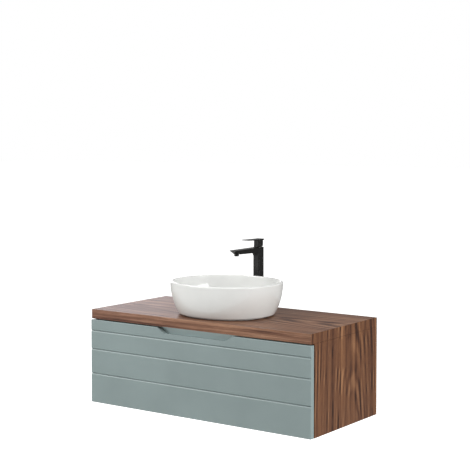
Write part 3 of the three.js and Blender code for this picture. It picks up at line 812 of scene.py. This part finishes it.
def add_waste():
    x, y, _ = middle("waste_body")
    seat, bore, flange = 15.8, 18, 33
    profile = [(bore, WASTE_END), *threaded(THREAD, 0.8, WASTE_END, seat - 4, 1.8),
               (THREAD, seat - 3)]
    profile += softened(
        [(THREAD, seat), (flange, seat), (flange, seat + 1.5), (flange - 2, seat + 3),
         (bore + 3, seat + 3), (bore, seat)],
        1.0, closed=False,
    )
    tail = turned(profile, steps=72)
    # Four spokes carry the hub in which the plug's stem slides.
    stem_bore, hub_radius, hub_bottom, hub_top = 4.3, 7, -16, -4
    spokes = []
    for reach, width in ((bore + 1, 2), (2, bore + 1)):
        bar = rectangle(-reach, -width, reach, width)
        spokes.append(prism(bar, "Z", hub_bottom + 2, hub_top))
    hub = turned(softened(rectangle(stem_bore, hub_bottom, hub_radius, hub_top), 0.8), steps=40)
    guide = combined("UNION", tail, *spokes, hub)
    guide = combined("DIFFERENCE", guide, disc(stem_bore, hub_bottom - 4, 0, 40))
    brass_top = (DECK + seat - 0.05) * MM

    def plated(face):
        return 1 if face.center.z > brass_top else 0

    piece("waste_body_finished", moved(guide, x, y, DECK), "root", [BRASS, BLACK],
          ["waste_body"], plated)
    stem, cap, cap_radius = 4, 19.1, 30
    plug = softened(
        [(0, -15), (stem, -15), (stem, cap), (cap_radius, cap),
         (cap_radius + 1.5, cap + 1.5, 1.2), (cap_radius + 0.5, cap + 3.6, 1.5),
         (cap_radius - 8, cap + 5, 6), (0, cap + 5.8)],
        0.8, closed=False, steps=5,
    )
    piece("waste_plug_finished", moved(turned(plug, steps=96), x, y, DECK), "waste_plug",
          [BLACK], ["waste_plug"])
    washer("waste_rubber_washer", x, y, THREAD + SLIP, 38, 1.4)
    nut("waste_back_nut", 58, THREAD + SLIP)


def washer(node, x, y, bore, rim, ease):
    """A rubber ring in the height of its CAD node."""
    low, high = extent(node)
    ring = turned(softened(rectangle(bore, low.z, rim, high.z), ease), steps=72)
    piece(f"{node}_finished", moved(ring, x, y), "root", [RUBBER], [node])


def nut(node, across_flats, bore):
    """A hexagonal nut with chamfered corners, in the height of its CAD node."""
    low, high = extent(node)
    centre = (low + high) / 2
    bottom, top = low.z, high.z
    inside, corner = across_flats / 2, across_flats / math.sqrt(3)
    crown = turned(
        [(0, bottom - 1), (inside - 1, bottom - 1), (corner + 1, bottom + 2.2),
         (corner + 1, top - 2.2), (inside - 1, top + 1), (0, top + 1)],
        steps=72,
    )
    body = combined("INTERSECT", prism(hexagon(corner), "Z", bottom, top), crown)
    hole = turned(
        [(0, bottom - 1), (bore + 1.6, bottom - 1), (bore, bottom + 0.8), (bore, top - 0.8),
         (bore + 1.6, top + 1), (0, top + 1)],
        steps=72,
    )
    shape = moved(combined("DIFFERENCE", body, hole), centre.x, centre.y)
    piece(f"{node}_finished", shape, "root", [BRASS], [node])


# ---- bottle trap ------------------------------------------------------------------------------
def ribs(count, depth, beyond, low, high):
    """A grip: the radius dips in narrow flutes round the band between low and high."""

    def warp(radius, height, turn):
        if radius < beyond or not low < height < high:
            return radius
        return radius - depth * max(0.0, math.cos(count * turn)) ** 4

    return warp


PIPE = 16  # the outer radius of the pipes
PIPE_BORE = PIPE + SLIP  # of what slides over them
OUTLET = -196  # the height of the outlet pipe's axis
BOTTLE_TOP, CUP_TOP = OUTLET + 34, OUTLET - 26
BRANCH_END = 58  # how far the bottle's branch reaches from its axis


def trap_part(node, profile, grip=None, steps=96, axis="Z"):
    """A part turned on the bottle's upright axis or, with axis Y, on the outlet pipe's."""
    x, y, _ = middle("trap_cup")
    place = (x, y, DECK) if axis == "Z" else (x, 0, DECK + OUTLET)
    shape = moved(turned(profile, axis, steps, grip), *place)
    piece(f"{node}_finished", shape, "root", [WHITE], [node])


def slip_nut(node, rim, start, length, collar, axis="Z"):
    """A fluted nut that tapers at its far end."""
    end = start + length
    profile = [(PIPE_BORE, start), (rim, start, 1), (rim, start + collar), (rim, end - 4, 1.5),
               (rim - 5, end, 1), (PIPE_BORE, end)]
    grip = ribs(20, 1.6, rim - 2, start + collar - 0.5, end - 4.7)
    trap_part(node, softened(profile, 0.5), grip, 192, axis)


def add_trap_inlet():
    top, end, seat = WASTE_END + 16, WASTE_END - 14, WASTE_END - 4.6
    bore, rim = THREAD + SLIP, THREAD + 5
    profile = [(bore, top), (rim, top, 1.2), (rim, top - 2), (rim, end + 3), (rim, end, 1.5),
               (PIPE_BORE, end), (PIPE_BORE, seat), (bore, seat)]
    grip = ribs(24, 1.4, rim - 2, end + 2.5, top - 2.5)
    trap_part("trap_inlet_nut", softened(profile, 0.5), grip, 192)
    inside, flange, start, step = PIPE - 2, THREAD - 1, WASTE_END - SLIP, WASTE_END - 4.3
    end = OUTLET - 40
    profile = [(inside, start), (flange, start), (flange, step), (PIPE, step), (PIPE, end),
               (inside, end)]
    trap_part("trap_inlet_pipe", softened(profile, 0.5))


def add_trap_bottle():
    x, y, _ = middle("trap_cup")
    outside, inside, mouth = 31, 28.5, CUP_TOP + SLIP
    profile = [(PIPE_BORE, BOTTLE_TOP), (24, BOTTLE_TOP, 0.8), (24, BOTTLE_TOP - 8, 2),
               (outside, BOTTLE_TOP - 14, 3), (outside, mouth), (inside, mouth),
               (inside, BOTTLE_TOP - 16, 3), (PIPE_BORE, BOTTLE_TOP - 16)]
    bell = turned(softened(profile, 0.5, steps=4), steps=96)
    branch_start = 20
    outline = rectangle(0, branch_start, PIPE + 3, BRANCH_END)
    branch = turned(softened(outline, 0.6, closed=False), "Y", 72)
    waterway = disc(PIPE_BORE, branch_start - 6, BRANCH_END + 1, 72, "Y")
    throat = disc(inside, CUP_TOP - 1, BOTTLE_TOP - 19, 96)
    bottle = combined("UNION", bell, moved(branch, z=OUTLET))
    bottle = combined("DIFFERENCE", bottle, moved(waterway, z=OUTLET), throat)
    piece("trap_bottle_finished", moved(bottle, x, y, DECK), "root", [WHITE],
          ["trap_bottle"])
    slip_nut("trap_head_nut", 27, BOTTLE_TOP + SLIP, 17.7, 2.5)
    profile = [(0, CUP_TOP - 42), (26, CUP_TOP - 42, 3), (33, CUP_TOP - 36, 4),
               (33.6, CUP_TOP - 14, 0.4), (34, CUP_TOP, 0.8), (28, CUP_TOP),
               (28, CUP_TOP - 36, 3), (0, CUP_TOP - 38)]
    cup = softened(profile, 0.5, closed=False, steps=4)
    trap_part("trap_cup", cup, ribs(28, 1.2, 32, CUP_TOP - 15, CUP_TOP - 0.5), 224)


def add_trap_outlet():
    axis_y = middle("trap_cup").y
    pipe = softened(rectangle(PIPE - 2, axis_y + 34, PIPE, -SLIP), 0.5)
    trap_part("trap_outlet_pipe", pipe, axis="Y")
    slip_nut("trap_outlet_nut", 26, axis_y + BRANCH_END + SLIP, 19.7, 2, "Y")
    profile = [(PIPE_BORE, -12), (PIPE + 4, -12, 1.5), (34, -4, 4), (36, -0.8), (36, 0),
               (PIPE_BORE, 0)]
    trap_part("wall_rosette", softened(profile, 0.3, steps=5), axis="Y")


# ---- mixer tap --------------------------------------------------------------------------------
TAP_HALF, TAP_TOP = 16.5, 237  # half the column's width, and its height
SPOUT_END, SPOUT_TIP = 171, 220  # how far the spout reaches, and its underside's height there
AERATOR = 147  # how far before the column's axis the water falls
SHANK = 16  # the radius of the threaded shank


def tap_part(name, shape, node, before=0, body="root", material=BLACK):
    """A part made round the column's axis, or round one that far before it."""
    x, y, _ = middle("tap_base_ring")
    piece(name, moved(shape, x, y - before, DECK), body, [material], [node])


def add_tap_body():
    bore = SHANK + SLIP
    base = softened([(bore, SLIP), (24, SLIP), (24, 3, 1.2), (bore, 3)], 0.3, steps=4)
    tap_part("tap_base_ring_finished", turned(base, steps=96), "tap_base_ring")

    column = prism(round_square(TAP_HALF, 7), "Z", 3 + SLIP, TAP_TOP)
    fillet, root, spout_half = 12, 217, 15.5
    under = arc(-TAP_HALF - fillet, root - fillet, fillet, 90, 0, 12)
    spout = [(0, TAP_TOP - 0.5), (-SPOUT_END, TAP_TOP - 1), (-SPOUT_END, TAP_TOP - 2.5),
             (2 - AERATOR, SPOUT_TIP), *under, (0, root - fillet)]
    body = combined("UNION", column, prism(spout, "X", -spout_half, spout_half))
    body = eased(body, 1.0, 3, 50)
    end, collar = -76, SHANK - 1
    thread = threaded(SHANK, 0.9, end, -2, 1.5)
    stud = turned([(0, end), *thread, (collar, 4), (collar, 8), (0, 8)], steps=72)
    body = combined("UNION", body, stud)
    cartridge_hole = disc(12.8, 196, TAP_TOP + 1)
    shank_hole = disc(10, end - 1, 186)
    aerator_hole = moved(disc(9.3, root - 5, 230), y=-AERATOR)
    body = combined("DIFFERENCE", body, cartridge_hole, shank_hole, aerator_hole)
    tap_part("tap_body_coated", body, "tap_body")


def add_aerator():
    """A knurled insert with a honeycomb of small jets in its face."""
    face, back, radius = SPOUT_TIP - 7.5, 225.7, 9
    profile = [(0, face + 1), (7, face + 1), (7.4, face), (radius, face, 0.6), (radius, back),
               (0, back)]
    knurl = ribs(24, 0.5, radius - 0.5, face + 1, back)
    insert = turned(softened(profile, 0.2, closed=False), steps=96, warp=knurl)
    jets = []
    for ring, count in ((0, 1), (2.4, 6), (4.8, 12)):
        for k in range(count):
            turn = 2 * math.pi * k / count
            jet = disc(0.7, face - 1, face + 3, 12)
            jets.append(moved(jet, ring * math.cos(turn), ring * math.sin(turn)))
    insert = combined("DIFFERENCE", insert, merged(*jets))
    tap_part("aerator_finished", insert, "aerator", AERATOR)


def add_tap_insides():
    """The cartridge shows only through the slit under a lifted lever, the inlets from below."""
    for node, material, slot in (
        ("cartridge", WHITE, "white_plastic"),
        ("cartridge_ring", BRASS, "brass"),
        ("cartridge_carrier", WHITE, "white_plastic"),
        ("cartridge_stem", BRASS, "brass"),
        ("hot_inlet", BRASS, "brass"),
        ("cold_inlet", BRASS, "brass"),
    ):
        eased_node(node, 0.25, [material], segments=2)


def add_lever():
    grip = TAP_HALF - 2  # half the width of the block that the lever's plate lies on
    lower, plate, upper, tip, screw = 237.8, 264, 269, -91, 246
    core = prism(round_square(grip, 6), "Z", lower, plate + 0.5)
    wedge = [(1, lower - 1), (grip + 2, lower - 1), (grip + 2, lower + 6.2), (1, lower)]
    core = combined("DIFFERENCE", core, prism(wedge, "X", -30, 30))
    lever = [(TAP_HALF, plate), (TAP_HALF, upper), (-TAP_HALF, upper), (tip, upper + 2),
             (tip, upper - 1), (-TAP_HALF, plate)]
    handle = combined("UNION", core, prism(lever, "X", -TAP_HALF, TAP_HALF))
    handle = eased(handle, 0.9, 3, 50)
    stem_hole = prism(rectangle(-3.3, -3, 3.3, 3), "Z", lower - 1, 252.3)
    screw_hole = moved(disc(2.8, 2.9, grip + 1, 32, "Y"), z=screw)
    handle = combined("DIFFERENCE", handle, stem_hole, screw_hole)
    tap_part("lever_handle_coated", handle, "lever_handle", body="lever")
    outline = softened(rectangle(0, 3.3, 2.5, grip - 1.5), 0.4, closed=False)
    grub = moved(turned(outline, "Y", 32), z=screw)
    key = prism(hexagon(1.4, 0, screw), "Y", grip - 4, grip + 1)
    tap_part("handle_screw_finished", combined("DIFFERENCE", grub, key), "handle_screw",
             body="lever", material=ZINC)


def add_tap_fixing():
    x, y, _ = middle("tap_base_ring")
    washer("tap_rubber_washer", x, y, SHANK + SLIP, 27, 1.0)
    nut("tap_fixing_nut", 42, SHANK + SLIP)


# ---- stage, light and camera -----------------------------------------------------------------
def add_stage():
    """A pale floor at the height where a unit like this hangs above it."""
    height = DECK * MM - 0.85
    reach = 40
    shape = bmesh.new()
    corners = rectangle(-reach, -reach, reach, reach)
    shape.faces.new([shape.verts.new((u, v, height)) for u, v in corners])
    mesh = as_mesh(shape, "floor")
    finish = Finish("pale_floor", Roughness=0.9)
    finish.shader.inputs["Base Color"].default_value = (0.6, 0.6, 0.59, 1)
    finish.shader.inputs["Emission Color"].default_value = (1, 1, 1, 1)
    rays = finish.node("ShaderNodeLightPath", {})
    finish.set("Emission Strength", rays.outputs["Is Camera Ray"])
    mesh.materials.append(finish.material)
    linked("floor", mesh)


def panel(name, place, target, size, power, colour=(1, 1, 1)):
    """A soft rectangular light that faces its target."""
    light = bpy.data.lights.new(name, "AREA")
    light.shape = "RECTANGLE"
    light.size, light.size_y = size
    light.energy = power
    light.color = colour
    lamp = linked(name, light)
    lamp.location = place
    lamp.rotation_euler = (Vector(target) - Vector(place)).to_track_quat("-Z", "Y").to_euler()
    lamp.visible_camera = False


def add_light():
    world = bpy.data.worlds.new("studio")
    scene.world = world
    world.use_nodes = True
    tree = world.node_tree
    background = tree.nodes["Background"]
    rays = tree.nodes.new("ShaderNodeLightPath")
    strength = tree.nodes.new("ShaderNodeMapRange")
    strength.inputs["To Min"].default_value = 0.42  # on the object
    strength.inputs["To Max"].default_value = 1.0  # as the backdrop
    tree.links.new(rays.outputs["Is Camera Ray"], strength.inputs["Value"])
    tree.links.new(strength.outputs["Result"], background.inputs["Strength"])
    background.inputs["Color"].default_value = (1, 1, 1, 1)
    aim = (0, -0.2, 0.05)
    panel("window", (-2.3, -2.2, 2.6), (-0.3, -0.2, 0), (1.8, 1.4), 108, (1.0, 0.995, 0.98))
    panel("front", (-1.6, -3.4, 0.3), aim, (2.0, 1.0), 18)
    panel("fill", (3.2, -0.6, 1.0), aim, (1.8, 1.8), 82)
    panel("sheen", (-2.4, 1.5, 0.55), (-0.4, -0.2, 0.09), (1.5, 1.0), 14, (1.0, 0.95, 0.99))
    panel("overhead", (0.2, -0.9, 2.6), aim, (2.0, 1.4), 14)


def add_camera():
    lens = bpy.data.cameras.new("camera")
    lens.lens = 92.7
    lens.shift_y = -0.117
    camera = linked("camera", lens)
    camera.location = (2.6629, -3.9243, 0.7775)
    camera.rotation_euler = (math.radians(87.64), 0, math.radians(35.59))
    scene.camera = camera
    scene.view_settings.view_transform = "Standard"


add_cabinet()
add_fixings()
add_drawer_front()
add_drawer_box()
add_slides()
add_basin()
add_waste()
add_trap_inlet()
add_trap_bottle()
add_trap_outlet()
add_tap_body()
add_aerator()
add_tap_insides()
add_lever()
add_tap_fixing()
add_stage()
add_light()
add_camera()
